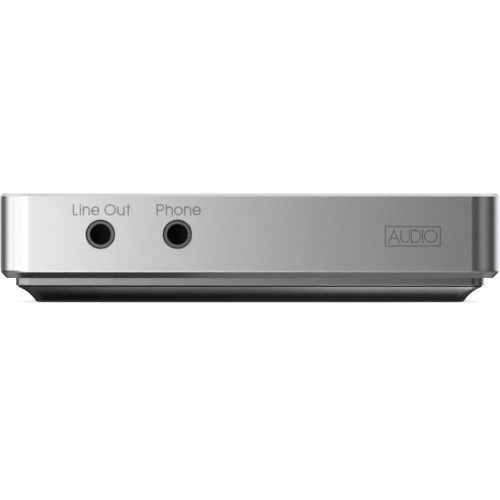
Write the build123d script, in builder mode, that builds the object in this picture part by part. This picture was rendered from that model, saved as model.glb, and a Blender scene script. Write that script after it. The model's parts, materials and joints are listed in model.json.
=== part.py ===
"""Slim desktop DAC and headphone amplifier with a plug-in amplifier card.

Frame: millimetres, +Z up, origin at the centre of the footprint on the surface it stands on.
The jacks face -Y, the digital inputs face +Y and the push buttons are on the +X side.
The amplifier card is the whole front end of the body and pulls out towards -Y.
"""

import math
import os

from build123d import *

os.makedirs("parts", exist_ok=True)

# ---------------------------------------------------------------- driving dimensions
WIDTH = 88.0
DEPTH = 112.0
HEIGHT = 19.2
CORNER = 5.0  # plan radius of the metal body
WALL = 2.2
REAR_WALL = 3.4
ROOF = 1.8
LOW_CHAMFER = 1.1
TOP_CHAMFER = 0.5
EDGE_ROUND = 0.65  # softened edge between the walls and the lower chamfer

SEAM_Y = -28.0  # where the amplifier card meets the main body
SEAM_GAP = 0.15

# heights of the stacked layers
MAT_TOP = 0.5
COVER_Z = 0.05
COVER_LIP_Z = 2.75
TRAY_Z = 3.0
TRAY_TOP = 4.3
SILL_TOP = 6.3  # inward sill at the foot of the walls
BOARD_Z = 7.2
BOARD_THICK = 1.6
BOARD_TOP = BOARD_Z + BOARD_THICK
CEILING = HEIGHT - ROOF

# how far each outline lies inside the body's outline
TRAY_INSET = 2.73
SILL_INSET = 3.9
LIP_INSET = 3.1
COVE_END_INSET = 6.1
COVE_END_Z = 0.35
COVE_RADIUS = 6.5
FLAT_INSET = 7.0

# fasteners
M2_SHANK = 0.95
M2_CLEAR = 1.1
M2_TAPPED = 1.0
BOSS_RADIUS = 2.5
BASE_SCREW_X = 33.6
CARD_SCREW_Y = (-45.0, -32.0)
BODY_SCREW_Y = (-21.0, 46.0)
SCREW_SEAT_Z = 1.5
STANDOFF_RADIUS = 2.2
CARD_STANDOFFS = ((2.0, -49.5), (24.0, -49.5), (-21.0, -33.0), (21.0, -33.0))
BODY_STANDOFFS = ((-22.0, -21.5), (22.0, -21.5), (-31.0, 16.0), (27.0, 36.0))

# inlaid top plate and the status light that comes up through it
TOP_PLATE_X = 39.0
TOP_PLATE_Y = (-23.0, 51.0)
TOP_PLATE_THICK = 0.8
LIGHT_XY = (34.0, -14.0)
LIGHT_RADIUS = 0.9

# rubber mats under the base: (low, high) along X, then along Y
CARD_MAT = ((-27.0, 27.0), (-46.0, -31.0))
BODY_MAT = ((-27.0, 27.0), (-25.0, 46.0))

# jacks for 3.5 mm plugs
JACK_Z = 12.0
JACK_BORE = 1.8
JACK_BARREL = 2.33
JACK_HOLE = 2.53
JACK_RECESS = 0.2
JACK_BLOCK = 6.4
LINE_OUT_X = -26.3
PHONE_X = -12.75
DIGITAL_IN_X = 22.0

# rear panel
PANEL_WIDTH = 70.0
PANEL_HEIGHT = 10.4
PANEL_Z = 11.9
PANEL_THICK = 1.2
PANEL_RECESS = 0.6
PANEL_FACE_Y = DEPTH / 2 - PANEL_RECESS
PANEL_BACK_Y = PANEL_FACE_Y - PANEL_THICK
PANEL_SCREW_X = 32.2
USB_X = 1.0
USB_WIDTH = 8.94
USB_HEIGHT = 3.26
USB_Z = BOARD_TOP + USB_HEIGHT / 2
USB_Y = (48.2, PANEL_FACE_Y + 0.25)
GAIN_X = -20.0
GAIN_Z = 11.0
GAIN_TRAVEL = 2.0
GAIN_BODY_Y = (PANEL_BACK_Y - 3.8, PANEL_BACK_Y - 0.1)

# side buttons: name, centre along Y, length
BUTTONS = (("volume_up", 15.0, 10.0), ("volume_down", 27.0, 10.0), ("power", 40.0, 7.0))
BUTTON_Z = 11.4
BUTTON_HEIGHT = 3.0
BUTTON_TRAVEL = 0.3
FINGER_RECESS = 0.6
PLUNGER_Z = 10.6
PLUNGER_RADIUS = 0.8
SWITCH_X = (34.4, 38.2)

# guide rails and the captive lock screws of the card
RAIL_THICK = 1.4
RAIL_Y = (-38.5, -12.0)
RAIL_Z = (9.5, 14.5)
RAIL_SCREW_Y = (-24.0, -15.0)
LOCK_Y = -34.0
LOCK_Z = 12.0
INNER_X = WIDTH / 2 - WALL

# card-to-body connector
PIN_PITCH = 2.54
PIN_COLUMNS = 10
PIN_Z = (10.2, 12.74)
PLUG_FACE_Y = -29.0
SOCKET_FACE_Y = -27.2

EPS = 0.01


def save(part, name):
    """Labels one finished piece and writes it as one STEP file."""
    part.label = name
    export_step(part, f"parts/{name}.step")


def body_outline(inset, z):
    """The body's rounded-rectangle outline, drawn inset inside it, as a sketch at height z."""
    with BuildSketch(Plane.XY.offset(z)) as outline:
        radius = max(CORNER - inset, 1.8)
        RectangleRounded(WIDTH - 2 * inset, DEPTH - 2 * inset, radius)
    return outline.sketch


def layer(inset, low, high, mode=Mode.ADD):
    """Adds to or cuts from the current part a slab that follows the body's outline."""
    extrude(body_outline(inset, low), amount=high - low, mode=mode)


def block(x, y, z, mode=Mode.ADD, edge=0.0):
    """A box given by its (low, high) on each axis, with optional rounded upright edges."""
    with BuildSketch(Plane.XY.offset(z[0])) as base:
        with Locations(((x[0] + x[1]) / 2, (y[0] + y[1]) / 2)):
            if edge:
                RectangleRounded(x[1] - x[0], y[1] - y[0], edge)
            else:
                Rectangle(x[1] - x[0], y[1] - y[0])
    extrude(base.sketch, amount=z[1] - z[0], mode=mode)


def rod(x, y, z, radius, mode=Mode.ADD):
    """An upright cylinder from z[0] to z[1]."""
    with BuildSketch(Plane.XY.offset(z[0])) as base:
        with Locations((x, y)):
            Circle(radius)
    extrude(base.sketch, amount=z[1] - z[0], mode=mode)


def keep_card():
    """Keeps the half in front of the seam."""
    split(bisect_by=Plane.XZ.offset(-SEAM_Y + SEAM_GAP / 2), keep=Keep.TOP)


def keep_body():
    """Keeps the half behind the seam."""
    split(bisect_by=Plane.XZ.offset(-SEAM_Y - SEAM_GAP / 2), keep=Keep.BOTTOM)


def screw_places(rows):
    return [(side * BASE_SCREW_X, y) for side in (-1, 1) for y in rows]


# ---------------------------------------------------------------- fasteners
def screw(head_radius, head_height, length, countersunk=True):
    """One M2 screw along Z, its head's top at the origin and its shank towards -Z."""
    foot = 0.0 if countersunk else head_height
    with BuildPart() as one:
        with BuildSketch(Plane.XZ):
            with BuildLine():
                Polyline(
                    (0, 0),
                    (head_radius, 0),
                    (head_radius, -foot - 0.1),
                    (M2_SHANK, -head_height - 0.1),
                    (M2_SHANK, -length + 0.3),
                    (M2_SHANK - 0.3, -length),
                    (0, -length),
                    close=True,
                )
            make_face()
        revolve(axis=Axis.Z)
        if not countersunk:
            fillet(one.edges().filter_by(GeomType.CIRCLE).sort_by(Axis.Z)[-1], 0.35)
        cross_width, cross_depth = 0.42, 0.7 * head_height
        with BuildSketch(Plane.XY):
            Rectangle(1.35 * head_radius, cross_width)
            Rectangle(cross_width, 1.35 * head_radius)
        extrude(amount=-cross_depth, mode=Mode.SUBTRACT)
    return one.part


def screws(name, places, one):
    """Writes one node that holds a separate screw at each place."""
    with BuildPart() as group:
        with Locations(*places):
            add(one)
    save(group.part, name)


# ---------------------------------------------------------------- metal body
def shell_blank():
    """The whole milled body before it is parted at the seam: walls, roof and inward sill."""
    with BuildPart() as blank:
        layer(0, TRAY_TOP, HEIGHT)
        chamfer(blank.faces().sort_by(Axis.Z)[0].edges(), LOW_CHAMFER)
        chamfer(blank.faces().sort_by(Axis.Z)[-1].edges(), TOP_CHAMFER)
        edge_z = TRAY_TOP + LOW_CHAMFER
        fillet(blank.edges().filter_by_position(Axis.Z, edge_z - EPS, edge_z + EPS), EDGE_ROUND)
        half_x = WIDTH / 2 - WALL
        cavity_y = (-DEPTH / 2 + WALL, DEPTH / 2 - REAR_WALL)
        block((-half_x, half_x), cavity_y, (SILL_TOP, CEILING), Mode.SUBTRACT, edge=2.8)
        layer(SILL_INSET, TRAY_TOP, SILL_TOP, Mode.SUBTRACT)
        for x, y in screw_places(CARD_SCREW_Y + BODY_SCREW_Y):
            rod(x, y, (TRAY_TOP, CEILING + EPS), BOSS_RADIUS)
            rod(x, y, (TRAY_TOP, TRAY_TOP + 7.5), M2_TAPPED, Mode.SUBTRACT)
    return blank.part


def make_card_shell(blank):
    """Front end of the body, with the two jack holes, the guide channels and the lock screw seats."""
    with BuildPart() as card_shell:
        add(blank)
        keep_card()
        channel_y = (RAIL_Y[0] - 1.0, SEAM_Y)
        channel_z = (RAIL_Z[0] - 0.3, RAIL_Z[1] + 0.3)
        for side in (-1, 1):
            channel_x = sorted((side * (INNER_X - EPS), side * (INNER_X + 0.3)))
            block(channel_x, channel_y, channel_z, Mode.SUBTRACT)
        for x in (LINE_OUT_X, PHONE_X):
            with BuildSketch(Plane.XZ.offset(DEPTH / 2)):
                with Locations((x, JACK_Z)):
                    Circle(JACK_HOLE)
            extrude(amount=-WALL - EPS, mode=Mode.SUBTRACT)
        rims = card_shell.edges().filter_by(GeomType.CIRCLE).group_by(Axis.Y)[0]
        chamfer(rims, 0.12)
        for side in (-1, 1):
            with Locations(Location((side * WIDTH / 2, LOCK_Y, LOCK_Z), (0, side * 90, 0))):
                CounterSinkHole(M2_CLEAR, 2.1, WALL + EPS, counter_sink_angle=90)
    save(card_shell.part, "card_shell")


def make_body_shell(blank):
    """Rear end of the body, open on top under the top plate, with button slots and a rear window."""
    with BuildPart() as body_shell:
        add(blank)
        keep_body()
        # seat for the top plate, and the window below it
        plate_y = (TOP_PLATE_Y[0] - 0.1, TOP_PLATE_Y[1] + 0.1)
        plate_x = TOP_PLATE_X + 0.1
        block((-plate_x, plate_x), plate_y, (HEIGHT - TOP_PLATE_THICK, HEIGHT), Mode.SUBTRACT, edge=2.6)
        window_x, window_y = 27.0, (-14.0, 38.0)
        block((-window_x, window_x), window_y, (CEILING - EPS, HEIGHT), Mode.SUBTRACT, edge=3.0)
        rod(*LIGHT_XY, (CEILING - EPS, HEIGHT), LIGHT_RADIUS + 0.1, Mode.SUBTRACT)
        # rear panel: a shallow pocket from outside, and a window through the rest of the wall
        with BuildSketch(Plane.XZ.offset(-DEPTH / 2)):
            with Locations((0, PANEL_Z)):
                RectangleRounded(PANEL_WIDTH + 0.2, PANEL_HEIGHT + 0.2, 1.6)
        extrude(amount=PANEL_RECESS + PANEL_THICK, mode=Mode.SUBTRACT)
        with BuildSketch(Plane.XZ.offset(-DEPTH / 2)):
            with Locations((0, PANEL_Z)):
                RectangleRounded(58.0, 8.2, 1.0)
        extrude(amount=REAR_WALL + EPS, mode=Mode.SUBTRACT)
        with Locations(*[(side * PANEL_SCREW_X, DEPTH / 2, PANEL_Z) for side in (-1, 1)]):
            Cylinder(M2_TAPPED, 2 * REAR_WALL + EPS, rotation=(90, 0, 0), mode=Mode.SUBTRACT)
        # blind threaded holes for the guide rail screws
        for side in (-1, 1):
            with Locations(*[(side * INNER_X, y, LOCK_Z) for y in RAIL_SCREW_Y]):
                Cylinder(M2_TAPPED, 3.0, rotation=(0, 90, 0), mode=Mode.SUBTRACT)
        # finger recess and button slots in the right wall
        recess_low = BUTTONS[0][1] - BUTTONS[0][2] / 2 - 2.5
        recess_high = BUTTONS[-1][1] + BUTTONS[-1][2] / 2 + 2.5
        with BuildSketch(Plane.YZ.offset(WIDTH / 2)):
            with Locations(((recess_low + recess_high) / 2, BUTTON_Z)):
                SlotOverall(recess_high - recess_low, 5.6)
        extrude(amount=-FINGER_RECESS, mode=Mode.SUBTRACT)
        for _, y, length in BUTTONS:
            with BuildSketch(Plane.YZ.offset(WIDTH / 2)):
                with Locations((y, BUTTON_Z)):
                    SlotOverall(length + 0.24, BUTTON_HEIGHT + 0.24)
            extrude(amount=-WALL - EPS, mode=Mode.SUBTRACT)
    save(body_shell.part, "body_shell")


# ---------------------------------------------------------------- top plate and status light
def make_top_plate():
    with BuildPart() as top_plate:
        plate_x = (-TOP_PLATE_X, TOP_PLATE_X)
        block(plate_x, TOP_PLATE_Y, (HEIGHT - TOP_PLATE_THICK, HEIGHT), edge=2.5)
        chamfer(top_plate.faces().sort_by(Axis.Z)[-1].edges(), 0.15)
        rod(*LIGHT_XY, (CEILING, HEIGHT), LIGHT_RADIUS + 0.05, Mode.SUBTRACT)
    save(top_plate.part, "top_plate")


def make_status_light():
    x, y = LIGHT_XY
    lens_z = BOARD_TOP + 1.1
    with BuildPart() as light_pipe:
        rod(x, y, (lens_z, HEIGHT - 0.05), LIGHT_RADIUS)
        rod(x, y, (CEILING - 1.2, CEILING), LIGHT_RADIUS + 0.8)
    save(light_pipe.part, "status_light_pipe")
    with BuildPart() as led:
        block((x - 1.0, x + 1.0), (y - 0.65, y + 0.65), (BOARD_TOP, BOARD_TOP + 0.9))
    save(led.part, "status_led")


# ---------------------------------------------------------------- floor tray, base cover and mats
def tray_blank():
    """The grey floor tray of the whole body before it is parted at the seam."""
    with BuildPart() as blank:
        layer(TRAY_INSET, TRAY_Z, TRAY_TOP)
        fillet(blank.faces().sort_by(Axis.Z)[0].edges(), 0.2)
        for x, y in CARD_STANDOFFS + BODY_STANDOFFS:
            rod(x, y, (TRAY_TOP - EPS, BOARD_Z), STANDOFF_RADIUS)
            rod(x, y, (BOARD_Z - 3.4, BOARD_Z), M2_TAPPED, Mode.SUBTRACT)
        for x, y in screw_places(CARD_SCREW_Y + BODY_SCREW_Y):
            rod(x, y, (TRAY_Z, TRAY_TOP), M2_CLEAR, Mode.SUBTRACT)
    return blank.part


def cove_levels(steps=6):
    """(height, inset) down the hollow arc of the cove."""
    start = Vector(LIP_INSET, COVER_LIP_Z)
    end = Vector(COVE_END_INSET, COVE_END_Z)
    chord = end - start
    rise = math.sqrt(COVE_RADIUS**2 - (chord.length / 2) ** 2)
    centre = (start + end) / 2 + Vector(chord.Y, -chord.X).normalized() * rise
    first = math.atan2(start.Y - centre.Y, start.X - centre.X)
    last = math.atan2(end.Y - centre.Y, end.X - centre.X)
    for i in range(steps + 1):
        angle = first + (last - first) * i / steps
        yield centre.Y + COVE_RADIUS * math.sin(angle), centre.X + COVE_RADIUS * math.cos(angle)


def toe_levels(steps=4):
    """(height, inset) round the toe, from the foot of the cove to the flat underside."""
    for i in range(steps + 1):
        angle = math.radians(90 * i / steps)
        height = COVE_END_Z - (COVE_END_Z - COVER_Z) * math.sin(angle)
        yield height, FLAT_INSET - (FLAT_INSET - COVE_END_INSET) * math.cos(angle)


def cover_blank():
    """The dark base cover of the whole body: a slab whose sides are hollowed by a cove."""
    with BuildPart() as blank:
        for levels in (cove_levels(), toe_levels()):
            for z, inset in levels:
                with BuildSketch(Plane.XY.offset(z)):
                    RectangleRounded(WIDTH - 2 * inset, DEPTH - 2 * inset, 2.2)
            loft()
        layer(LIP_INSET, COVER_LIP_Z - EPS, TRAY_Z)
        for x, y in screw_places(CARD_SCREW_Y + BODY_SCREW_Y):
            rod(x, y, (COVER_Z, TRAY_Z), M2_CLEAR, Mode.SUBTRACT)
            rod(x, y, (COVER_Z, SCREW_SEAT_Z), 2.2, Mode.SUBTRACT)
        for x, y in (CARD_MAT, BODY_MAT):
            block(grow(x), grow(y), (COVER_Z, MAT_TOP), Mode.SUBTRACT, edge=3.1)
    return blank.part


def grow(span, margin=0.1):
    return (span[0] - margin, span[1] + margin)


def make_base_layers():
    tray, cover = tray_blank(), cover_blank()
    for prefix, keep, mat in (("card", keep_card, CARD_MAT), ("body", keep_body, BODY_MAT)):
        with BuildPart() as floor_tray:
            add(tray)
            keep()
        save(floor_tray.part, f"{prefix}_tray")
        with BuildPart() as base_cover:
            add(cover)
            keep()
        save(base_cover.part, f"{prefix}_base_cover")
        with BuildPart() as base_mat:
            block(*mat, (0, MAT_TOP), edge=3.0)
            fillet(base_mat.faces().sort_by(Axis.Z)[0].edges(), 0.12)
        save(base_mat.part, f"{prefix}_base_mat")


# ---------------------------------------------------------------- circuit boards
def make_boards():
    """Both boards have the same thickness, and clear the screw bosses that come down through them."""
    board_x = 38.6
    spans = {
        "amplifier_board": ((-53.2, -30.0), CARD_SCREW_Y, CARD_STANDOFFS),
        "main_board": ((-26.8, 52.2), BODY_SCREW_Y, BODY_STANDOFFS),
    }
    for name, (y, boss_rows, standoffs) in spans.items():
        with BuildPart() as board:
            block((-board_x, board_x), y, (BOARD_Z, BOARD_TOP), edge=1.0)
            for boss_x, boss_y in screw_places(boss_rows):
                rod(boss_x, boss_y, (BOARD_Z, BOARD_TOP), BOSS_RADIUS + 0.3, Mode.SUBTRACT)
            for hole_x, hole_y in standoffs:
                rod(hole_x, hole_y, (BOARD_Z, BOARD_TOP), M2_CLEAR, Mode.SUBTRACT)
        save(board.part, name)


def chip(width, length, height, rows, count, pitch):
    """A moulded chip on the board plane, with gull-wing leads on 2 or 4 sides as separate solids."""
    lead, reach = 0.24, 0.9
    with BuildPart() as package:
        with BuildSketch(Plane.XY.offset(0.1)):
            Rectangle(width, length)
        extrude(amount=height - 0.1)
        chamfer(package.faces().sort_by(Axis.Z)[-1].edges(), 0.18)
    with BuildPart() as one_lead:
        with BuildSketch(Plane.XZ):
            with BuildLine():
                Polyline(
                    (0, height / 2),
                    (reach * 0.45, height / 2),
                    (reach * 0.6, 0.15),
                    (reach * 1.2, 0.15),
                    (reach * 1.2, 0),
                    (reach * 0.45, 0),
                    (reach * 0.3, height / 2 - 0.15),
                    (0, height / 2 - 0.15),
                    close=True,
                )
            make_face()
        extrude(amount=lead / 2, both=True)
    with BuildPart() as whole:
        add(package.part)
        for turn in range(rows):
            angle = turn * 360 / rows
            half = (width if rows == 2 or turn % 2 == 0 else length) / 2
            for i in range(count):
                offset = (i - (count - 1) / 2) * pitch
                along = Vector(half, offset, 0).rotate(Axis.Z, angle)
                with Locations(Location(along, (0, 0, angle))):
                    add(one_lead.part)
    return whole.part


def can_capacitor(radius, height):
    """An aluminium can on a square moulded foot, at the origin."""
    with BuildPart() as can:
        with BuildSketch():
            RectangleRounded(2.1 * radius, 2.1 * radius, 0.25 * radius)
        extrude(amount=0.6)
        with BuildSketch(Plane.XY.offset(0.6)):
            Circle(radius)
        extrude(amount=height - 0.6)
        with BuildSketch(Plane.XY.offset(0.25 * height)):
            Circle(1.1 * radius)
            Circle(0.93 * radius, mode=Mode.SUBTRACT)
        extrude(amount=0.35, mode=Mode.SUBTRACT)
        fillet(can.faces().sort_by(Axis.Z)[-1].edges(), 0.3)
    return can.part


def on_board(name, placed):
    """Writes one node of parts standing on the boards, each with its (x, y) and turn."""
    with BuildPart() as group:
        for part, x, y, turn in placed:
            with Locations(Location((x, y, BOARD_TOP), (0, 0, turn))):
                add(part)
    save(group.part, name)


def brick(width, length, height, edge=0.12):
    """A small moulded component body at the origin."""
    with BuildPart() as body:
        with BuildSketch():
            Rectangle(width, length)
        extrude(amount=height)
        chamfer(body.faces().sort_by(Axis.Z)[-1].edges(), edge)
    return body.part


def make_components():
    amplifier_chip = chip(3.9, 4.9, 1.6, 2, 4, 1.27)
    on_board("amplifier_chips", [(amplifier_chip, x, -38.4, 0) for x in (-27.0, -18.0, -9.0)])
    film = brick(4.6, 7.2, 5.6, 0.3)
    film_row = [(film, x, -44.0, 0) for x in (7.0, 13.0, 19.0)]
    on_board("film_capacitors", film_row)
    relay = brick(6.0, 10.6, 5.4, 0.3)
    on_board("output_relays", [(relay, x, -40.2, 0) for x in (-0.5, 25.8)])
    resistor = brick(1.25, 2.0, 0.5, 0.08)
    resistor_row = [(resistor, x, -34.2, 0) for x in (-27.5, -25.3, -17.0, -14.8)]
    resistor_row += [(resistor, 8.5 + 2.2 * i, -36.5, 0) for i in range(5)]
    on_board("amplifier_resistors", resistor_row)

    on_board("dac_chip", [(chip(10.0, 10.0, 1.5, 4, 16, 0.5), 0.0, 6.0, 0)])
    on_board("usb_receiver_chip", [(brick(7.0, 7.0, 0.9), 1.0, 31.0, 0)])
    oscillator = brick(5.0, 7.0, 1.8, 0.2)
    on_board("clock_oscillators", [(oscillator, 0.0, 19.0, 90), (oscillator, 10.0, 19.0, 90)])
    can = can_capacitor(3.15, 7.4)
    on_board("power_capacitors", [(can, -24.0 + 8.0 * (i % 2), 22.0 + 8.0 * (i // 2), 0) for i in range(4)])
    coupling = can_capacitor(2.5, 5.6)
    coupling_row = [(coupling, x, -8.0, 0) for x in (-22.0, -15.0, 15.0, 22.0)]
    on_board("coupling_capacitors", coupling_row)
    on_board("power_inductors", [(brick(5.0, 5.0, 3.0, 0.5), -30.5, y, 0) for y in (26.0, 34.0)])
    regulator = chip(3.5, 6.5, 1.7, 2, 3, 2.3)
    on_board("voltage_regulators", [(regulator, -22.0, y, 0) for y in (3.0, 12.0)])


def make_shield_can():
    """A thin folded lid over the power section of the main board."""
    x, y, height, sheet = (12.0, 26.0), (1.0, 15.0), 3.4, 0.25
    with BuildPart() as shield:
        block(x, y, (BOARD_TOP, BOARD_TOP + height), edge=0.6)
        inner_x = (x[0] + sheet, x[1] - sheet)
        inner_y = (y[0] + sheet, y[1] - sheet)
        block(inner_x, inner_y, (BOARD_TOP, BOARD_TOP + height - sheet), Mode.SUBTRACT, edge=0.4)
        centre = ((x[0] + x[1]) / 2, (y[0] + y[1]) / 2, BOARD_TOP + height)
        with Locations(centre):
            with GridLocations(2.4, 2.4, 4, 4):
                Cylinder(0.45, 2 * sheet + EPS, mode=Mode.SUBTRACT)
    save(shield.part, "shield_can")


# ---------------------------------------------------------------- card-to-body connector
def pin_columns():
    return [(i - (PIN_COLUMNS - 1) / 2) * PIN_PITCH for i in range(PIN_COLUMNS)]


def pin_cut(size, low, high):
    """Cuts square pin holes along Y, in both rows, from the current part."""
    with BuildSketch(Plane.XZ.offset(-high)) as holes:
        with Locations(*[(x, z) for x in pin_columns() for z in PIN_Z]):
            Rectangle(size, size)
    extrude(holes.sketch, amount=high - low, mode=Mode.SUBTRACT)


def make_connector():
    half = PIN_PITCH * PIN_COLUMNS / 2 + 0.3
    top = PIN_Z[1] + 1.3
    with BuildPart() as plug:
        block((-half, half), (PLUG_FACE_Y - 2.5, PLUG_FACE_Y), (BOARD_TOP, top))
        pin_cut(0.7, PLUG_FACE_Y - 2.5, PLUG_FACE_Y)
    save(plug.part, "card_plug")
    with BuildPart() as pins:
        for row, z in enumerate(PIN_Z):
            bend_y = PLUG_FACE_Y - 3.4 - 1.2 * row
            for x in pin_columns():
                across = (x - 0.3, x + 0.3)
                block(across, (bend_y, PLUG_FACE_Y + 5.2), (z - 0.3, z + 0.3))
                block(across, (bend_y, bend_y + 0.6), (BOARD_TOP, z))
    save(pins.part, "card_plug_pins")
    with BuildPart() as socket:
        block((-half, half), (SOCKET_FACE_Y, SOCKET_FACE_Y + 7.5), (BOARD_TOP, top))
        pin_cut(0.9, SOCKET_FACE_Y, SOCKET_FACE_Y + 5.5)
    save(socket.part, "body_socket")


def make_guide_rails():
    """Two flat rails on the side walls. Their open slots take the card's captive lock screws."""
    with BuildPart() as rails:
        for side in (-1, 1):
            x = sorted((side * INNER_X, side * (INNER_X - RAIL_THICK)))
            block(x, RAIL_Y, RAIL_Z)
            block(x, (RAIL_Y[0] - EPS, LOCK_Y), (LOCK_Z - 1.25, LOCK_Z + 1.25), Mode.SUBTRACT)
            with Locations((side * (INNER_X - RAIL_THICK / 2), LOCK_Y, LOCK_Z)):
                Cylinder(1.25, RAIL_THICK + EPS, rotation=(0, 90, 0), mode=Mode.SUBTRACT)
            for y in RAIL_SCREW_Y:
                with Locations((side * (INNER_X - RAIL_THICK / 2), y, LOCK_Z)):
                    Cylinder(M2_CLEAR, RAIL_THICK + EPS, rotation=(0, 90, 0), mode=Mode.SUBTRACT)
    save(rails.part, "guide_rails")


# ---------------------------------------------------------------- 3.5 mm jacks
def make_jack(name, place):
    """One board jack. It is drawn with its mouth at the origin and its bore along +Y."""
    seat, depth, cavity = 3.4, 14.4, 2.1
    half = JACK_BLOCK / 2
    floor = BOARD_TOP - JACK_Z
    inner_face = WALL - JACK_RECESS + 0.1
    with BuildPart() as ferrule:
        with BuildSketch(Plane.XZ):
            Circle(JACK_BARREL)
            Circle(JACK_BORE, mode=Mode.SUBTRACT)
        extrude(amount=-seat)
        mouth = ferrule.edges().filter_by(GeomType.CIRCLE).group_by(Axis.Y)[0]
        chamfer(mouth.sort_by(SortBy.RADIUS)[0], 0.12)
    with BuildPart() as housing:
        block((-half, half), (inner_face, depth), (floor, half))
        with BuildSketch(Plane.XZ.offset(-inner_face)):
            Circle(JACK_BARREL)
        extrude(amount=inner_face - seat, mode=Mode.SUBTRACT)
        with BuildSketch(Plane.XZ.offset(-seat)):
            Circle(cavity)
        extrude(amount=seat + 0.8 - depth, mode=Mode.SUBTRACT)
        for side in (-1, 1):
            slot_x = sorted((side * half, side * 1.2))
            block(slot_x, (5.2, 12.4), (-0.9, 0.9), Mode.SUBTRACT)
        block((-0.9, 0.9), (6.2, 12.4), (1.2, half), Mode.SUBTRACT)
    with BuildPart() as spring:
        with BuildSketch(Plane.XY.offset(-0.7)):
            with BuildLine():
                Polyline((half + 0.2, 12.1), (half - 0.25, 12.1), (2.15, 8.2), (2.0, 7.0), (2.15, 6.0))
            trace(line_width=0.22)
        extrude(amount=1.4)
        block((half + 0.05, half + 0.3), (11.5, 12.3), (floor, 0.7))
    with BuildPart() as contacts:
        add(spring.part)
        add(mirror(spring.part, about=Plane.YZ, mode=Mode.PRIVATE))
    for part, suffix in ((ferrule, "ferrule"), (housing, "housing"), (contacts, "contacts")):
        with BuildPart() as placed:
            with Locations(place):
                add(part.part)
        save(placed.part, f"{name}_{suffix}")


# ---------------------------------------------------------------- rear panel and its connectors
def make_rear_panel():
    with BuildPart() as rear_panel:
        with BuildSketch(Plane.XZ.offset(-PANEL_BACK_Y)):
            with Locations((0, PANEL_Z)):
                RectangleRounded(PANEL_WIDTH, PANEL_HEIGHT, 1.5)
            with Locations((DIGITAL_IN_X, JACK_Z)):
                Circle(JACK_HOLE, mode=Mode.SUBTRACT)
            with Locations((USB_X, USB_Z)):
                SlotOverall(USB_WIDTH + 0.4, USB_HEIGHT + 0.4, mode=Mode.SUBTRACT)
            with Locations((GAIN_X + GAIN_TRAVEL / 2, GAIN_Z)):
                Rectangle(1.8 + GAIN_TRAVEL + 0.4, 1.9, mode=Mode.SUBTRACT)
        extrude(amount=-PANEL_THICK)
        with Locations(*[Location((s * PANEL_SCREW_X, PANEL_FACE_Y, PANEL_Z), (-90, 0, 0)) for s in (-1, 1)]):
            CounterSinkHole(M2_CLEAR, 2.0, PANEL_THICK + EPS, counter_sink_angle=90)
    save(rear_panel.part, "rear_panel")


def make_usb_port():
    sheet, back = 0.3, 1.2
    with BuildPart() as usb_shell:
        with BuildSketch(Plane.XZ.offset(-USB_Y[1])):
            with Locations((USB_X, USB_Z)):
                SlotOverall(USB_WIDTH, USB_HEIGHT)
        extrude(amount=USB_Y[1] - USB_Y[0])
        with BuildSketch(Plane.XZ.offset(-USB_Y[1])):
            with Locations((USB_X, USB_Z)):
                SlotOverall(USB_WIDTH - 2 * sheet, USB_HEIGHT - 2 * sheet)
        extrude(amount=USB_Y[1] - USB_Y[0] - back, mode=Mode.SUBTRACT)
    save(usb_shell.part, "usb_port_shell")
    with BuildPart() as tongue:
        x = (USB_X - 3.3, USB_X + 3.3)
        block(x, (USB_Y[0] + back, USB_Y[1] - 1.1), (USB_Z - 0.35, USB_Z + 0.35))
        fillet(tongue.faces().sort_by(Axis.Y)[-1].edges(), 0.12)
    save(tongue.part, "usb_port_tongue")


def make_gain_switch():
    """A slide switch behind the rear panel. The slider's carriage runs in a channel in the body."""
    x = (GAIN_X - 3.4, GAIN_X + 3.4 + GAIN_TRAVEL)
    carriage_x = (GAIN_X - 1.7, GAIN_X + 1.7)
    carriage_z = (GAIN_Z - 1.1, GAIN_Z + 1.1)
    carriage_y = (GAIN_BODY_Y[1] - 1.6, GAIN_BODY_Y[1] - 0.6)
    channel_x = (carriage_x[0] - 0.1, carriage_x[1] + GAIN_TRAVEL + 0.1)
    mouth_x = (GAIN_X - 0.9, GAIN_X + 0.9 + GAIN_TRAVEL)
    with BuildPart() as switch_body:
        block(x, GAIN_BODY_Y, (BOARD_TOP, GAIN_Z + 2.0))
        block(channel_x, grow(carriage_y, 0.08), grow(carriage_z, 0.1), Mode.SUBTRACT)
        mouth_y = (carriage_y[1], GAIN_BODY_Y[1] + EPS)
        block(mouth_x, mouth_y, (GAIN_Z - 0.8, GAIN_Z + 0.8), Mode.SUBTRACT)
    save(switch_body.part, "gain_switch_body")
    with BuildPart() as slider:
        block(carriage_x, carriage_y, carriage_z)
        knob_x = (GAIN_X - 0.8, GAIN_X + 0.8)
        block(knob_x, (carriage_y[1] - EPS, DEPTH / 2 - 0.05), (GAIN_Z - 0.7, GAIN_Z + 0.7))
        fillet(slider.faces().sort_by(Axis.Y)[-1].edges(), 0.15)
    save(slider.part, "gain_slider")


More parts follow.
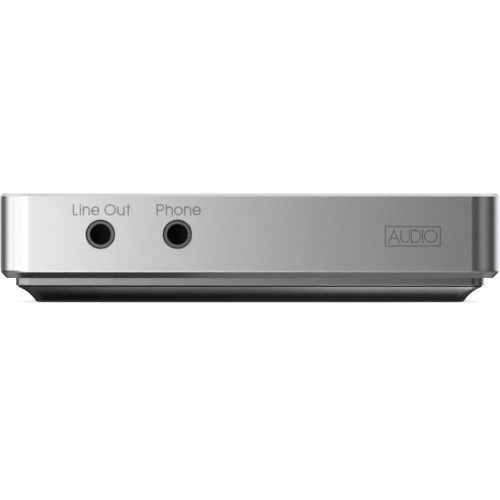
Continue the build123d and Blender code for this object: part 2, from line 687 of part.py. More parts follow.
# ---------------------------------------------------------------- side buttons and their switches
def make_buttons():
    """Button caps held behind the wall by a flange, and the switch plungers that ride with them."""
    flange_x = INNER_X - 0.05
    for name, y, length in BUTTONS:
        with BuildPart() as cap:
            with BuildSketch(Plane.YZ.offset(flange_x - EPS)):
                with Locations((y, BUTTON_Z)):
                    SlotOverall(length, BUTTON_HEIGHT)
            extrude(amount=WIDTH / 2 - 0.05 - flange_x + EPS)
            fillet(cap.faces().sort_by(Axis.X)[-1].edges(), 0.3)
            with BuildSketch(Plane.YZ.offset(flange_x - 0.8)):
                with Locations((y, BUTTON_Z)):
                    SlotOverall(length + 1.4, BUTTON_HEIGHT + 1.4)
            extrude(amount=0.8)
            block((39.3, flange_x - 0.8 + EPS), (y - 1.0, y + 1.0), (PLUNGER_Z - 0.9, PLUNGER_Z + 1.2))
        save(cap.part, f"{name}_button")
        with BuildPart() as plunger:
            with BuildSketch(Plane.YZ.offset(36.9)):
                with Locations((y, PLUNGER_Z)):
                    Circle(PLUNGER_RADIUS)
            extrude(amount=39.3 - 36.9)
        save(plunger.part, f"{name}_plunger")
    with BuildPart() as switches:
        for _, y, _ in BUTTONS:
            block(SWITCH_X, (y - 3.0, y + 3.0), (BOARD_TOP, BOARD_TOP + 3.5))
            with BuildSketch(Plane.YZ.offset(SWITCH_X[1])) as bore:
                with Locations((y, PLUNGER_Z)):
                    Circle(PLUNGER_RADIUS + 0.1)
            extrude(bore.sketch, amount=-1.8, mode=Mode.SUBTRACT)
    save(switches.part, "tact_switches")


# ---------------------------------------------------------------- build everything
def make_fasteners():
    for prefix, rows in (("card", CARD_SCREW_Y), ("body", BODY_SCREW_Y)):
        places = [Location((x, y, SCREW_SEAT_Z - 1.2), (180, 0, 0)) for x, y in screw_places(rows)]
        screws(f"{prefix}_base_screws", places, screw(1.9, 1.0, 8.6, countersunk=False))
    board_screw = screw(1.8, 0.9, 4.6, countersunk=False)
    for name, standoffs in (("amplifier_board_screws", CARD_STANDOFFS), ("main_board_screws", BODY_STANDOFFS)):
        places = [Location((x, y, BOARD_TOP + 1.1)) for x, y in standoffs]
        screws(name, places, board_screw)
    panel_places = [Location((s * PANEL_SCREW_X, PANEL_FACE_Y, PANEL_Z), (-90, 0, 0)) for s in (-1, 1)]
    screws("rear_panel_screws", panel_places, screw(1.85, 0.9, 4.2))
    sides = (-1, 1)
    lock_places = [Location((s * (WIDTH / 2 - 0.02), LOCK_Y, LOCK_Z), (0, s * 90, 0)) for s in sides]
    screws("lock_screws", lock_places, screw(1.95, 1.0, 5.2))
    rail_places = [
        Location((s * (INNER_X - RAIL_THICK - 0.9), y, LOCK_Z), (0, -s * 90, 0))
        for s in sides
        for y in RAIL_SCREW_Y
    ]
    screws("guide_rail_screws", rail_places, screw(1.7, 0.7, 3.6, countersunk=False))
    with BuildPart() as lock_nuts:
        for s in sides:
            nut_x = sorted((s * (INNER_X - RAIL_THICK - 0.15), s * (INNER_X - RAIL_THICK - 1.65)))
            block(nut_x, (LOCK_Y - 2.0, LOCK_Y + 2.0), (LOCK_Z - 2.0, LOCK_Z + 2.0))
            with Locations((s * (INNER_X - RAIL_THICK - 0.9), LOCK_Y, LOCK_Z)):
                Cylinder(M2_TAPPED, 2.0, rotation=(0, 90, 0), mode=Mode.SUBTRACT)
    save(lock_nuts.part, "lock_nuts")


def main():
    blank = shell_blank()
    make_card_shell(blank)
    make_body_shell(blank)
    make_top_plate()
    make_status_light()
    make_base_layers()
    make_boards()
    make_components()
    make_shield_can()
    make_connector()
    make_guide_rails()
    front_y = -DEPTH / 2 + JACK_RECESS
    make_jack("line_out_jack", Location((LINE_OUT_X, front_y, JACK_Z)))
    make_jack("phone_jack", Location((PHONE_X, front_y, JACK_Z)))
    make_jack("digital_in_jack", Location((DIGITAL_IN_X, PANEL_FACE_Y - 0.1, JACK_Z), (0, 0, 180)))
    make_rear_panel()
    make_usb_port()
    make_gain_switch()
    make_buttons()
    make_fasteners()


main()
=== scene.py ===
import json
import math

import bmesh
import bpy
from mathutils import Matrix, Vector


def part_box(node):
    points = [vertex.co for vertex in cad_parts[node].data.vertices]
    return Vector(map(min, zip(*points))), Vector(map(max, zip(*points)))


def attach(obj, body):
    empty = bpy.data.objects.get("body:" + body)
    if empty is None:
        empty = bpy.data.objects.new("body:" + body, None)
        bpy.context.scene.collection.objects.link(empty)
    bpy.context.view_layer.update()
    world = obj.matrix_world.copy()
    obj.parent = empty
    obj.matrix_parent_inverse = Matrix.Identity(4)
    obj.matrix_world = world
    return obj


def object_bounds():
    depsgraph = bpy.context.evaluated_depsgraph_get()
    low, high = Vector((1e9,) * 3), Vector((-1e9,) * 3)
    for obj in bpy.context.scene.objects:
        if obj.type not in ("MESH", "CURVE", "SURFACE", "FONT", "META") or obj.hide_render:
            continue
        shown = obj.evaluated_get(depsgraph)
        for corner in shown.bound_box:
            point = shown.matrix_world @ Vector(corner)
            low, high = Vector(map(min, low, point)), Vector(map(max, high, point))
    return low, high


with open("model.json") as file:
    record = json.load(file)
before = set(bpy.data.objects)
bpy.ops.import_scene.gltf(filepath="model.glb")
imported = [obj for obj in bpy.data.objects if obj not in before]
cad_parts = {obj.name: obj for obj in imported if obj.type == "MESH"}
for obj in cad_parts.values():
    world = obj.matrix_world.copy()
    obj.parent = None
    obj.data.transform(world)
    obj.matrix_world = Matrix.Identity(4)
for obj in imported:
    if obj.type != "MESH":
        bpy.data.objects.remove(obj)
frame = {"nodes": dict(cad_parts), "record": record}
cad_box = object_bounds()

MM = 0.001
SCENE = bpy.context.scene
FRONT_Y = cad_box[0].y


# ---------------------------------------------------------------- finishes
class Finish:
    """One Principled material, with shorthands for what varies over its surface."""

    def __init__(self, name, color, metallic=0.0, roughness=0.5, **constants):
        self.material = bpy.data.materials.new(name)
        self.material.use_nodes = True
        tree = self.material.node_tree
        self.nodes, self.links = tree.nodes, tree.links
        self.shader = self.nodes["Principled BSDF"]
        self.shader.inputs["Base Color"].default_value = (*color, 1.0)
        self.shader.inputs["Metallic"].default_value = metallic
        self.shader.inputs["Roughness"].default_value = roughness
        for socket, value in constants.items():
            self.shader.inputs[socket.replace("_", " ")].default_value = value
        self.coords = self.nodes.new("ShaderNodeTexCoord")
        self.bumped = None

    def feed(self, node, socket, value):
        """Links a socket's output in, or sets a plain value."""
        if isinstance(value, bpy.types.NodeSocket):
            self.links.new(value, node.inputs[socket])
        else:
            node.inputs[socket].default_value = value

    def noise(self, size_mm, detail=2.0, stretch=(1, 1, 1)):
        """A noise whose features are about size_mm across, from 0 to 1."""
        mapping = self.nodes.new("ShaderNodeMapping")
        self.links.new(self.coords.outputs["Object"], mapping.inputs["Vector"])
        mapping.inputs["Scale"].default_value = stretch
        texture = self.nodes.new("ShaderNodeTexNoise")
        self.links.new(mapping.outputs[0], texture.inputs["Vector"])
        texture.inputs["Scale"].default_value = 1.0 / (size_mm * MM)
        texture.inputs["Detail"].default_value = detail
        return texture.outputs[0]

    def cells(self, size_mm, feature="F1"):
        """A cell pattern whose cells are about size_mm across."""
        texture = self.nodes.new("ShaderNodeTexVoronoi")
        self.links.new(self.coords.outputs["Object"], texture.inputs["Vector"])
        texture.feature = feature
        texture.inputs["Scale"].default_value = 1.0 / (size_mm * MM)
        return texture.outputs["Distance"]

    def math(self, operation, *values):
        node = self.nodes.new("ShaderNodeMath")
        node.operation = operation
        for i, value in enumerate(values):
            self.feed(node, i, value)
        return node.outputs[0]

    def spread(self, value, low, high, source=(0.3, 0.7)):
        """Maps a pattern's middle range smoothly onto low to high."""
        node = self.nodes.new("ShaderNodeMapRange")
        node.interpolation_type = "SMOOTHSTEP"
        self.feed(node, "Value", value)
        node.inputs["From Min"].default_value, node.inputs["From Max"].default_value = source
        self.feed(node, "To Min", low)
        self.feed(node, "To Max", high)
        return node.outputs[0]

    def blend(self, factor, first, second):
        """A colour between first and second."""
        node = self.nodes.new("ShaderNodeMix")
        node.data_type = "RGBA"
        self.feed(node, "Factor", factor)
        for socket, value in ((6, first), (7, second)):
            if isinstance(value, tuple):
                value = (*value[:3], 1.0)
            self.feed(node, socket, value)
        return node.outputs[2]

    def color(self, value):
        self.links.new(value, self.shader.inputs["Base Color"])

    def rough(self, value):
        self.links.new(value, self.shader.inputs["Roughness"])

    def relief(self, height, depth_mm):
        """Adds a bump of that depth on top of the ones before it."""
        node = self.nodes.new("ShaderNodeBump")
        node.inputs["Distance"].default_value = depth_mm * MM
        node.inputs["Strength"].default_value = 1.0
        self.links.new(height, node.inputs["Height"])
        if self.bumped:
            self.links.new(self.bumped, node.inputs["Normal"])
        self.bumped = node.outputs[0]
        self.links.new(self.bumped, self.shader.inputs["Normal"])

    def slopes(self):
        """1 on the 45 degree chamfers, 0 on level and upright faces."""
        split = self.nodes.new("ShaderNodeSeparateXYZ")
        self.links.new(self.coords.outputs["Normal"], split.inputs[0])
        tilt = self.math("ABSOLUTE", split.outputs["Z"])
        rising = self.spread(tilt, 0.0, 1.0, (0.55, 0.66))
        falling = self.spread(tilt, 1.0, 0.0, (0.76, 0.88))
        return self.math("MULTIPLY", rising, falling)


def shade(color, factor):
    return tuple(channel * factor for channel in color)


def blasted_aluminium():
    """Bead-blasted, clear-anodised aluminium with smoother machined chamfers."""
    base = (0.86, 0.865, 0.87)
    finish = Finish("bead_blasted_aluminium", base, 1.0, 0.3)
    grain = finish.noise(0.11, 3.0)
    cloud = finish.noise(14.0, 2.0)
    chamfers = finish.slopes()
    mottled = finish.blend(finish.spread(cloud, 0.0, 1.0), shade(base, 0.985), base)
    finish.color(finish.blend(finish.spread(grain, 0.0, 0.35), mottled, shade(base, 0.9)))
    blasted = finish.spread(grain, 0.27, 0.35)
    cut = finish.spread(grain, 0.16, 0.2)
    smooth = finish.spread(chamfers, 0.0, 1.0, (0.0, 1.0))
    mixed = finish.math("ADD", finish.math("MULTIPLY", cut, smooth),
                        finish.math("MULTIPLY", blasted, finish.math("SUBTRACT", 1.0, smooth)))
    finish.rough(mixed)
    finish.relief(grain, 0.0022)
    finish.relief(finish.cells(0.2), 0.0009)
    return finish.material


def satin_metal(name, color, roughness=0.35, grain_mm=0.12, relief_mm=0.0015, stretch=(1, 1, 1)):
    """Plated, anodised or drawn metal with a fine grain and slight cloudiness."""
    finish = Finish(name, color, 1.0, roughness)
    grain = finish.noise(grain_mm, 3.0, stretch)
    cloud = finish.noise(grain_mm * 30, 2.0)
    tone = finish.blend(finish.spread(cloud, 0.0, 1.0), shade(color, 0.93), color)
    finish.color(finish.blend(finish.spread(grain, 0.0, 0.4), tone, shade(color, 0.85)))
    finish.rough(finish.spread(grain, roughness * 0.85, roughness * 1.15))
    finish.relief(grain, relief_mm)
    return finish.material


def moulded(name, color, roughness=0.45, grain_mm=0.18, relief_mm=0.004, **constants):
    """Moulded plastic or rubber with a fine spark-eroded texture."""
    finish = Finish(name, color, 0.0, roughness, **constants)
    grain = finish.noise(grain_mm, 3.0)
    cloud = finish.noise(grain_mm * 25, 2.0)
    tone = finish.blend(finish.spread(cloud, 0.0, 1.0), shade(color, 0.93), shade(color, 1.05))
    finish.color(tone)
    finish.rough(finish.spread(cloud, roughness * 0.97, roughness * 1.03))
    finish.relief(grain, relief_mm)
    return finish.material


# Heights in millimetres between which the base's finish turns dull and dark: painted shade standing in
# for the contact shadow at the bottom edge and the seam's shadow below the tray.
FOOT_SHADOW_BAND = (0.30, 0.40)
SEAM_SHADOW_BAND = (2.70, 2.76)
PAINTED_SHADE_FACTOR, PAINTED_SHADE_ROUGHNESS = 0.12, 0.95


def anodised_base():
    """Dark satin anodising, with painted shade at its bottom edge and just under the tray, standing in
    for contact shadow and the shadow of a seam.
    """
    color = (0.07, 0.07, 0.073)
    finish = Finish("dark_anodised_base", color, 1.0, 0.3)
    grain = finish.noise(0.1, 3.0)
    tone = finish.blend(finish.spread(finish.noise(3.0), 0.0, 1.0), shade(color, 0.93), color)
    split = finish.nodes.new("ShaderNodeSeparateXYZ")
    finish.links.new(finish.coords.outputs["Object"], split.inputs[0])
    # Painted shade: the finish turns dark and dull below about 0.3 to 0.4 mm as contact shadow, and from
    # 2.7 mm up as the seam's shadow under the tray.
    foot_shadow = finish.spread(split.outputs["Z"], 1.0, 0.0, tuple(z * MM for z in FOOT_SHADOW_BAND))
    seam_shadow = finish.spread(split.outputs["Z"], 0.0, 1.0, tuple(z * MM for z in SEAM_SHADOW_BAND))
    painted_shade = finish.math("MAXIMUM", foot_shadow, seam_shadow)
    satin = finish.spread(grain, 0.26, 0.34)
    finish.color(finish.blend(painted_shade, tone, shade(color, PAINTED_SHADE_FACTOR)))
    finish.rough(finish.spread(painted_shade, satin, PAINTED_SHADE_ROUGHNESS, (0.0, 1.0)))
    finish.links.new(finish.math("SUBTRACT", 1.0, painted_shade), finish.shader.inputs["Metallic"])
    finish.relief(grain, 0.0015)
    return finish.material


def circuit_board():
    """Dark green solder mask over copper tracks and ground fill, with a woven glass hint."""
    mask, copper = (0.006, 0.045, 0.024), (0.018, 0.10, 0.05)
    finish = Finish("board_mask", mask, 0.0, 0.3, Coat_Weight=0.4, Coat_Roughness=0.15)
    tracks = finish.cells(2.6, "DISTANCE_TO_EDGE")
    raised = finish.spread(tracks, 1.0, 0.0, (0.06, 0.09))
    weave = finish.noise(0.4, 2.0, (1, 0.25, 1))
    toned = finish.blend(finish.spread(weave, 0.0, 0.3), mask, shade(mask, 1.6))
    finish.color(finish.blend(raised, toned, copper))
    finish.rough(finish.spread(weave, 0.26, 0.36))
    finish.relief(raised, 0.03)
    finish.relief(weave, 0.004)
    return finish.material


def clear_acrylic():
    finish = Finish("light_guide", (0.93, 0.96, 1.0), 0.0, 0.12, Transmission_Weight=0.9, IOR=1.49)
    haze = finish.noise(0.3, 2.0)
    finish.rough(finish.spread(haze, 0.1, 0.18))
    finish.relief(haze, 0.002)
    return finish.material


def printed_ink(name, color):
    """Thin laser-marked or screen-printed lettering over metal."""
    finish = Finish(name, color, 0.0, 0.6)
    grain = finish.noise(0.08, 2.0)
    finish.color(finish.blend(finish.spread(grain, 0.0, 1.0), shade(color, 0.85), color))
    finish.relief(grain, 0.002)
    return finish.material


MATERIALS = {
    "bead_blasted_aluminium": blasted_aluminium(),
    "top_plate_finish": moulded("top_plate_finish", (0.018, 0.018, 0.02), 0.42, 0.16, 0.003),
    "grey_tray": satin_metal("grey_tray", (0.45, 0.45, 0.455), 0.32),
    "dark_anodised_base": anodised_base(),
    "mat_rubber": moulded("mat_rubber", (0.02, 0.02, 0.02), 0.8, 0.25, 0.02),
    "screw_steel": satin_metal("screw_steel", (0.18, 0.18, 0.185), 0.3, 0.08),
    "silver_screw_steel": satin_metal("silver_screw_steel", (0.6, 0.6, 0.61), 0.28, 0.08),
    "jack_ferrule": satin_metal("jack_ferrule", (0.22, 0.22, 0.225), 0.34, 0.08),
    "black_moulding": moulded("black_moulding", (0.012, 0.012, 0.013), 0.45),
    "contact_metal": satin_metal("contact_metal", (0.86, 0.62, 0.27), 0.22, 0.1),
    "board_mask": circuit_board(),
    "chip_epoxy": moulded("chip_epoxy", (0.022, 0.022, 0.024), 0.55, 0.12, 0.006),
    "film_case": moulded("film_case", (0.45, 0.04, 0.03), 0.3, 0.3, 0.004),
    "relay_case": moulded("relay_case", (0.78, 0.78, 0.75), 0.32, 0.3, 0.004),
    "ceramic_white": moulded("ceramic_white", (0.05, 0.045, 0.045), 0.35, 0.1, 0.003),
    "metal_can": satin_metal("metal_can", (0.70, 0.70, 0.71), 0.25, 0.1, 0.001, (1, 6, 1)),
    "can_sleeve": satin_metal("can_sleeve", (0.68, 0.69, 0.71), 0.24, 0.1, 0.001, (1, 1, 8)),
    "ferrite": moulded("ferrite", (0.06, 0.06, 0.065), 0.65, 0.12, 0.01),
    "light_guide": clear_acrylic(),
    "led_body": moulded("led_body", (0.85, 0.8, 0.55), 0.35, 0.1, 0.002),
    "rear_plate": moulded("rear_plate", (0.014, 0.014, 0.015), 0.4, 0.14, 0.005),
    "rail_steel": satin_metal("rail_steel", (0.5, 0.5, 0.51), 0.32, 0.12, 0.002, (1, 0.12, 1)),
}
for part in frame["record"]["subparts"]:
    for slot in frame["nodes"][part["node"]].material_slots:
        slot.material = MATERIALS[part["material_slot"]]


# ---------------------------------------------------------------- lettering
def arc(cx, cy, rx, ry, first, last, steps=18):
    """Points on an ellipse's arc, from first to last degrees."""
    turns = (math.radians(first + (last - first) * i / steps) for i in range(steps + 1))
    return [(cx + rx * math.cos(t), cy + ry * math.sin(t)) for t in turns]


# Each glyph is its advance width and its strokes, on a cap height of 1.
X_HEIGHT = 0.78
ARCH = 0.3
GLYPHS = {
    " ": (0.22, []),
    "A": (0.86, [[(0, 0), (0.43, 1), (0.86, 0)], [(0.15, 0.34), (0.71, 0.34)]]),
    "B": (0.56, [[(0.3, 0.53), (0, 0.53), (0, 1), (0.3, 1)] + arc(0.3, 0.765, 0.22, 0.235, 90, -90),
                 [(0, 0.53), (0, 0), (0.3, 0)] + arc(0.3, 0.265, 0.26, 0.265, -90, 90)]),
    "C": (0.88, [arc(0.5, 0.5, 0.5, 0.5, 45, 315, 30)]),
    "D": (0.78, [[(0, 0), (0, 1), (0.3, 1)] + arc(0.3, 0.5, 0.48, 0.5, 90, -90) + [(0, 0)]]),
    "G": (0.96, [arc(0.5, 0.5, 0.5, 0.5, 45, 360, 30) + [(0.55, 0.5)]]),
    "H": (0.68, [[(0, 0), (0, 1)], [(0.68, 0), (0.68, 1)], [(0, 0.52), (0.68, 0.52)]]),
    "I": (0.0, [[(0, 0), (0, 1)]]),
    "L": (0.5, [[(0, 1), (0, 0), (0.38, 0)]]),
    "N": (0.74, [[(0, 0), (0, 1), (0.74, 0), (0.74, 1)]]),
    "O": (1.1, [arc(0.52, 0.5, 0.52, 0.5, 0, 360, 36)]),
    "P": (0.73, [[(0, 0), (0, 1), (0.36, 1)] + arc(0.36, 0.72, 0.28, 0.28, 90, -90) + [(0, 0.44)]]),
    "S": (0.54, [arc(0.27, 0.74, 0.25, 0.26, 40, 270, 18) + arc(0.27, 0.24, 0.27, 0.24, 90, -140, 20)]),
    "U": (0.7, [[(0, 1), (0, 0.35)] + arc(0.35, 0.35, 0.35, 0.35, 180, 360) + [(0.7, 1)]]),
    "X": (0.7, [[(0, 0), (0.7, 1)], [(0, 1), (0.7, 0)]]),
    "e": (0.71, [[(0.0, 0.4), (0.71, 0.4)] + arc(0.355, 0.39, 0.355, 0.39, 0, 318, 26)]),
    "h": (0.65, [[(0, 0), (0, 1)],
                 [(0, X_HEIGHT - ARCH)] + arc(ARCH, X_HEIGHT - ARCH, ARCH, ARCH, 180, 0) + [(0.6, 0)]]),
    "i": (0.1, [[(0, 0), (0, 0.72)], [(0, 0.95), (0, 1.0)]]),
    "n": (0.66, [[(0, 0), (0, X_HEIGHT)],
                 [(0, X_HEIGHT - ARCH)] + arc(ARCH, X_HEIGHT - ARCH, ARCH, ARCH, 180, 0) + [(0.6, 0)]]),
    "o": (0.8, [arc(0.375, 0.39, 0.375, 0.39, 0, 360, 30)]),
    "t": (0.22, [[(0.11, 1), (0.11, 0)], [(0, X_HEIGHT), (0.22, X_HEIGHT)]]),
    "u": (0.74, [[(0, X_HEIGHT), (0, ARCH)] + arc(ARCH, ARCH, ARCH, ARCH, 180, 360) + [(0.6, X_HEIGHT)],
                [(0.6, ARCH), (0.6, 0)]]),
    "-": (0.6, [[(0, 0.5), (0.6, 0.5)]]),
    "+": (0.6, [[(0, 0.5), (0.6, 0.5)], [(0.3, 0.2), (0.3, 0.8)]]),
    "|": (0.9, [arc(0.45, 0.45, 0.45, 0.45, 125, 415, 30), [(0.45, 0.5), (0.45, 1.05)]]),
}
INK_THICK = 0.012 * MM


def ribbon(mesh, points, half, place, lift):
    """Adds one closed, thin, mitred stroke that follows points. place turns (across, up, out) to 3-D."""
    points = [Vector(p) for p in points]
    closed = (points[0] - points[-1]).length < 1e-6
    if closed:
        points = points[:-1]
    count, sides = len(points), []
    for i, point in enumerate(points):
        before = points[i - 1] if closed or i else None
        after = points[(i + 1) % count] if closed or i < count - 1 else None
        ways = [(point - before).normalized()] if before is not None else []
        ways += [(after - point).normalized()] if after is not None else []
        way = sum(ways, Vector((0, 0))).normalized()
        reach = half / max(0.35, way.dot(ways[0]))
        across = Vector((-way.y, way.x)) * reach
        along = Vector((0, 0))
        if len(ways) == 1:
            along = ways[0] * (half * (-1 if before is None else 1))
        sides.append((point + across + along, point - across + along))
    rings = []
    for left, right in sides:
        corners = [(left, lift), (left, lift + INK_THICK), (right, lift + INK_THICK), (right, lift)]
        rings.append([mesh.verts.new(place(p.x, p.y, out)) for p, out in corners])
    pairs = list(zip(rings, rings[1:]))
    if closed:
        pairs.append((rings[-1], rings[0]))
    else:
        mesh.faces.new(rings[0])
        mesh.faces.new(reversed(rings[-1]))
    for one, two in pairs:
        for i in range(4):
            mesh.faces.new((one[i], two[i], two[(i + 1) % 4], one[(i + 1) % 4]))


def text_width(text, gap):
    return sum(GLYPHS[letter][0] + gap for letter in text) - gap


def lettering(name, text, centre, baseline, cap, place, body, material, width, gap=0.22, extra=()):
    """Printed words as thin raised strokes. Lengths are in millimetres, across and up the face."""
    mesh = bmesh.new()
    cursor = centre - cap * text_width(text, gap) / 2
    strokes = list(extra)
    for letter in text:
        advance, glyph = GLYPHS[letter]
        strokes += [[(cursor + cap * x, baseline + cap * y) for x, y in stroke] for stroke in glyph]
        cursor += cap * (advance + gap)
    for i, stroke in enumerate(strokes):
        points = [(x * MM, y * MM) for x, y in stroke]
        ribbon(mesh, points, width * MM / 2, place, i * 0.0004 * MM)
    bmesh.ops.recalc_face_normals(mesh, faces=mesh.faces)
    data = bpy.data.meshes.new(name)
    mesh.to_mesh(data)
    mesh.free()
    piece = bpy.data.objects.new(name, data)
    SCENE.collection.objects.link(piece)
    data.materials.append(material)
    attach(piece, body)
    return piece


def on_front(across, up, out):
    return Vector((across, FRONT_Y - out, up))


PANEL_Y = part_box("rear_panel")[1].y


def on_rear(across, up, out):
    return Vector((-across, PANEL_Y + out, up))


def on_cap(node):
    """The face of one side button: across is +Y and up is +Z."""
    low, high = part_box(node)
    middle = (low.y + high.y) / 2
    return lambda across, up, out: Vector((high.x + out, middle + across, up))


MARKING = satin_metal("laser_marking", (0.36, 0.36, 0.365), 0.42, 0.08)
PALE_INK = printed_ink("pale_ink", (0.55, 0.55, 0.55))
SIDE_INK = printed_ink("button_ink", (0.05, 0.05, 0.052))

CARD, BODY = "amplifier_card", "main_body"
MARK_STROKE = 0.24
WORD_BASE, WORD_CAP, WORD_GAP = 15.46, 1.74, 0.2
for name, word, centre in (("line_out_label", "Line Out", -26.14), ("phone_label", "Phone", -12.55)):
    lettering(name, word, centre, WORD_BASE, WORD_CAP, on_front, CARD, MARKING,
              MARK_STROKE, WORD_GAP)
BOX_X, BOX_Z, BOX_W, BOX_H = 28.65, 11.66, 9.67, 3.4
frame_box = [(BOX_X + sx * BOX_W / 2, BOX_Z + sz * BOX_H / 2)
             for sx, sz in ((-1, -1), (1, -1), (1, 1), (-1, 1), (-1, -1))]
BOXED_BASE, BOXED_CAP, BOXED_GAP = 10.6, 2.12, 0.155
lettering("boxed_label", "AUDIO", BOX_X + 0.06, BOXED_BASE, BOXED_CAP, on_front, CARD,
          MARKING, MARK_STROKE, BOXED_GAP, [frame_box])

REAR_WORD_BASE, REAR_WORD_CAP = 15.1, 1.15
SIGN_BASE, SIGN_CAP = 10.45, 1.1
REAR_STROKE, BUTTON_STROKE = 0.13, 0.22
REAR_WORDS = (("usb_label", "USB", -1.0), ("coax_label", "COAX", -22.0), ("gain_label", "GAIN", 19.0))
for name, word, across in REAR_WORDS:
    lettering(name, word, across, REAR_WORD_BASE, REAR_WORD_CAP, on_rear, BODY,
              PALE_INK, REAR_STROKE)
for name, sign, across in (("gain_low_label", "L", 22.2), ("gain_high_label", "H", 15.7)):
    lettering(name, sign, across, SIGN_BASE, SIGN_CAP, on_rear, BODY, PALE_INK,
              REAR_STROKE)
for name, sign, cap in (("volume_up", "+", 2.2), ("volume_down", "-", 2.2), ("power", "|", 1.5)):
    node = f"{name}_button"
    low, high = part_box(node)
    middle_z = (low.z + high.z) / 2 / MM
    lettering(f"{name}_sign", sign, 0.0, middle_z - cap / 2, cap, on_cap(node), node,
              SIDE_INK, BUTTON_STROKE)


# ---------------------------------------------------------------- floor, light and camera
FLOOR_GLOW = 0.7


def make_floor():
    """A pale floor that gives off light itself, casts no shadow and stays out of reflections."""
    data = bpy.data.meshes.new("floor")
    size, drop = 4.0, -0.00002
    data.from_pydata([(-size, -size, drop), (size, -size, drop), (size, size, drop), (-size, size, drop)],
                     [], [(0, 1, 2, 3)])
    floor = bpy.data.objects.new("floor", data)
    SCENE.collection.objects.link(floor)
    paper = Finish("floor_paper", (0.9, 0.9, 0.9), 0.0, 0.9)
    paper.shader.inputs["Emission Color"].default_value = (1, 1, 1, 1)
    paper.shader.inputs["Emission Strength"].default_value = FLOOR_GLOW
    data.materials.append(paper.material)
    floor.visible_glossy = False
    floor.visible_shadow = False


def way(azimuth, elevation):
    """A unit direction: azimuth turns from the front (-Y) towards the right (+X)."""
    turn, rise = math.radians(azimuth), math.radians(elevation)
    return Vector((math.sin(turn) * math.cos(rise), -math.cos(turn) * math.cos(rise), math.sin(rise)))


# Brightness of the panels that stand in a ring around the object, by azimuth. All the levels are the
# output of a least squares fit made outside this script, scaled and rounded. None was set by hand.
RING = {-165: 0.2, -150: 0.22, -120: 0.065, -90: 0.8, -75: 0.8, -60: 0.6, 45: 0.265, 60: 0.105, 75: 0.08,
        120: 0.335, 135: 0.63, 150: 0.5, 165: 0.66}
# Direction, half-angle where it is full, half-angle where it ends, brightness.
SOFT_BOXES = [(way(azimuth, 0), 4, 20, level) for azimuth, level in RING.items()] + [
    (way(0, 90), 25, 60, 0.33),  # ceiling panel, its level from such a fit
    (way(0, 90), 50, 84, 0.36),  # pale room above
    (way(0, -90), 50, 72, 0.224),  # pale table
    (way(0, -90), 12, 34, -0.2),  # takes out its middle, as the object's own shadow would
    (way(180, -60), 6, 28, 0.15),  # table just behind, cut from a fit's level
    (way(180, 42), 20, 55, 0.4),  # pale wall behind
]


def make_world():
    world = bpy.data.worlds.new("studio")
    SCENE.world = world
    world.use_nodes = True
    nodes, links = world.node_tree.nodes, world.node_tree.links
    nodes.clear()
    coords = nodes.new("ShaderNodeTexCoord")
    total = None
    for direction, full, end, brightness in SOFT_BOXES:
        dot = nodes.new("ShaderNodeVectorMath")
        dot.operation = "DOT_PRODUCT"
        links.new(coords.outputs["Generated"], dot.inputs[0])
        dot.inputs[1].default_value = direction
        glow = nodes.new("ShaderNodeMapRange")
        glow.interpolation_type = "SMOOTHSTEP"
        links.new(dot.outputs["Value"], glow.inputs["Value"])
        glow.inputs["From Min"].default_value = math.cos(math.radians(end))
        glow.inputs["From Max"].default_value = math.cos(math.radians(full))
        glow.inputs["To Min"].default_value = 0.0
        glow.inputs["To Max"].default_value = brightness
        add = nodes.new("ShaderNodeMath")
        add.operation = "ADD"
        links.new(glow.outputs[0], add.inputs[0])
        add.inputs[1].default_value = 0.0
        if total is not None:
            links.new(total, add.inputs[1])
        total = add.outputs[0]
    rig, backdrop = nodes.new("ShaderNodeBackground"), nodes.new("ShaderNodeBackground")
    links.new(total, rig.inputs["Strength"])
    mix, path = nodes.new("ShaderNodeMixShader"), nodes.new("ShaderNodeLightPath")
    links.new(path.outputs["Is Camera Ray"], mix.inputs[0])
    links.new(rig.outputs[0], mix.inputs[1])
    links.new(backdrop.outputs[0], mix.inputs[2])
    links.new(mix.outputs[0], nodes.new("ShaderNodeOutputWorld").inputs[0])
    rig.inputs["Color"].default_value = (1, 1, 1, 1)
    backdrop.inputs["Color"].default_value = (1, 1, 1, 1)
    backdrop.inputs["Strength"].default_value = 1.0


def area_light(name, at, towards, size, power):
    data = bpy.data.lights.new(name, "AREA")
    data.shape = "RECTANGLE"
    data.size, data.size_y = size
    data.energy = power
    light = bpy.data.objects.new(name, data)
    light.location = at
    light.rotation_euler = (Vector(towards) - Vector(at)).to_track_quat("-Z", "Y").to_euler()
    light.visible_camera = False
    SCENE.collection.objects.link(light)
    return light


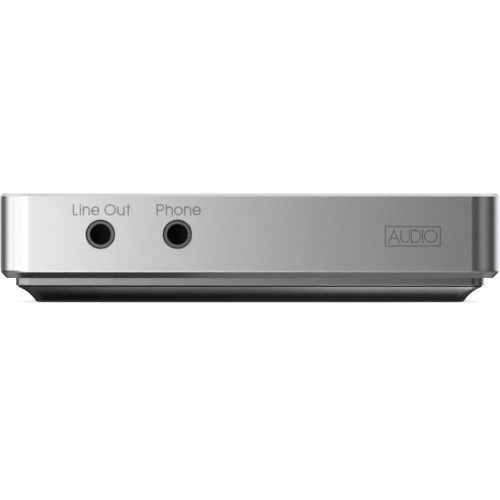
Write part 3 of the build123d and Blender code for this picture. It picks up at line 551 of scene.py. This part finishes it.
def make_camera():
    data = bpy.data.cameras.new("camera")
    distance, frame_width = 2.0, 0.08795
    data.sensor_width = 36.0
    data.lens = data.sensor_width * distance / frame_width
    data.clip_start, data.clip_end = 0.05, 50.0
    camera = bpy.data.objects.new("camera", data)
    eye_height = 0.00926
    camera.location = (0.0, FRONT_Y - distance, eye_height)
    camera.rotation_euler = (math.radians(90), 0, 0)
    SCENE.collection.objects.link(camera)
    SCENE.camera = camera


make_floor()
make_world()

# Each light's place is across, then forward of the front face or behind it, then height, in metres.
# The powers of these lights began as a fit's output and were then changed.
# The key light is a row of upright strips that ends at the middle of the front.
KEY_FORWARD, KEY_HEIGHT, KEY_SIZE = 0.30, 0.05, (0.07, 0.42)
KEY_STRIPS = {-0.49: 0.09, -0.42: 0.07, -0.35: 0.095, -0.28: 0.1, -0.21: 0.115, -0.14: 0.11, -0.07: 0.145,
              0.0: 0.02}
for x, power in KEY_STRIPS.items():
    area_light("key", (x, FRONT_Y - KEY_FORWARD, KEY_HEIGHT), (x, 0, KEY_HEIGHT), KEY_SIZE, power)

# Table bounce in front, which lights the softened lower edge.
BOUNCE_FORWARD, BOUNCE_HEIGHT, BOUNCE_SIZE = 0.25, -0.17, (0.1, 0.12)
BOUNCE_PANELS = {-0.25: 0.014, -0.15: 0.028, -0.05: 0.052}
for x, power in BOUNCE_PANELS.items():
    area_light("bounce", (x, FRONT_Y - BOUNCE_FORWARD, BOUNCE_HEIGHT), (x * 0.2, FRONT_Y, 0.01),
               BOUNCE_SIZE, power)

# Low light from under the object, mostly on the right, which grazes the cove.
COVE_HEIGHT, COVE_SIZE = -0.07, (0.04, 0.04)
COVE_PANELS = ((-0.01, 0.09, 0.009), (0.03, 0.09, 0.025), (-0.01, 0.04, 0.003), (0.03, 0.04, 0.009))
for x, back, power in COVE_PANELS:
    area_light("cove", (x, FRONT_Y + back, COVE_HEIGHT), (x, FRONT_Y, 0), COVE_SIZE, power)

# Weak glow from straight below, on the right.
GLOW_X, GLOW_HEIGHT, GLOW_SIZE, GLOW_POWER = 0.035, -0.1, (0.09, 0.1), 0.0028
area_light("below", (GLOW_X, FRONT_Y, GLOW_HEIGHT), (GLOW_X, FRONT_Y, 0), GLOW_SIZE, GLOW_POWER)
make_camera()
SCENE.view_settings.view_transform = "Standard"
SCENE.view_settings.look = "None"
SCENE.cycles.use_denoising = True
